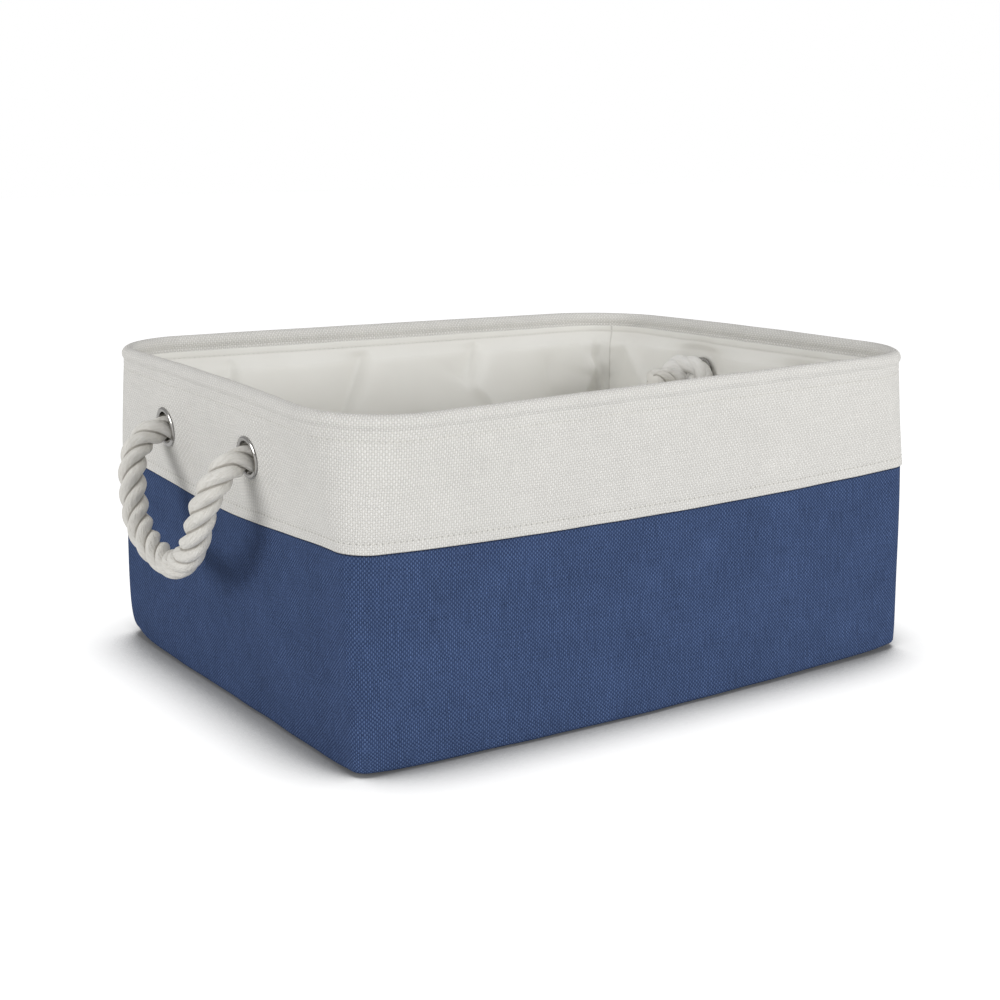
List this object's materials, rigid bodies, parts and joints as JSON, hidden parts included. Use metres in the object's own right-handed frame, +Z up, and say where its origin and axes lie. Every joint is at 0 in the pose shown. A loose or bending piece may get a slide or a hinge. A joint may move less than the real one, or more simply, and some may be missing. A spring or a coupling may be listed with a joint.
{
  "type": "fabric storage bin",
  "caption": "Open rectangular fabric storage bin with a wired cloth rim, a lining, boarded walls and a knotted rope handle through metal eyelets on each end.",
  "frame": {"origin": "centre of the bin's underside, on the surface that it stands on", "axes": "+X along the long side, towards the right-hand handle; +Z up; -Y out of the front long side"},
  "size_m": [0.4576, 0.308, 0.18],
  "materials": {
    "cream_cloth": "plain linen weave, off-white",
    "navy_cloth": "melange denim weave, navy blue",
    "lining_cloth": "smooth coated lining, off-white",
    "rope_cotton": "laid three-strand cotton, off-white",
    "board": "uncoated grey-brown board",
    "steel_wire": "drawn wire",
    "nickel": "polished nickel plate"
  },
  "bodies": {
    "bin": {"upper_band": "cream_cloth", "lower_wall": "navy_cloth", "bottom_panel": "navy_cloth", "lining_wall": "lining_cloth", "lining_floor": "lining_cloth", "base_board": "board", "stiffener_front": "board", "stiffener_rear": "board", "stiffener_left": "board", "stiffener_right": "board", "rim_wire": "steel_wire", "rim_wire_sleeve": "steel_wire", "left_front_eyelet": "nickel", "left_rear_eyelet": "nickel", "right_front_eyelet": "nickel", "right_rear_eyelet": "nickel", "left_front_washer": "nickel", "left_rear_washer": "nickel", "right_front_washer": "nickel", "right_rear_washer": "nickel", "left_front_rope_end": "rope_cotton", "left_rear_rope_end": "rope_cotton", "right_front_rope_end": "rope_cotton", "right_rear_rope_end": "rope_cotton"},
    "left_handle": {"left_handle_rope": "rope_cotton"},
    "right_handle": {"right_handle_rope": "rope_cotton"}
  },
  "joints": [
    {"name": "left_handle_swing", "type": "hinge", "parent": "bin", "child": "left_handle", "pos_m": [-0.20847, 0.005, 0.139], "axis": [0, 1, 0], "range_deg": [0, 150]},
    {"name": "right_handle_swing", "type": "hinge", "parent": "bin", "child": "right_handle", "pos_m": [0.20847, -0.008, 0.139], "axis": [0, -1, 0], "range_deg": [0, 150]}
  ]
}
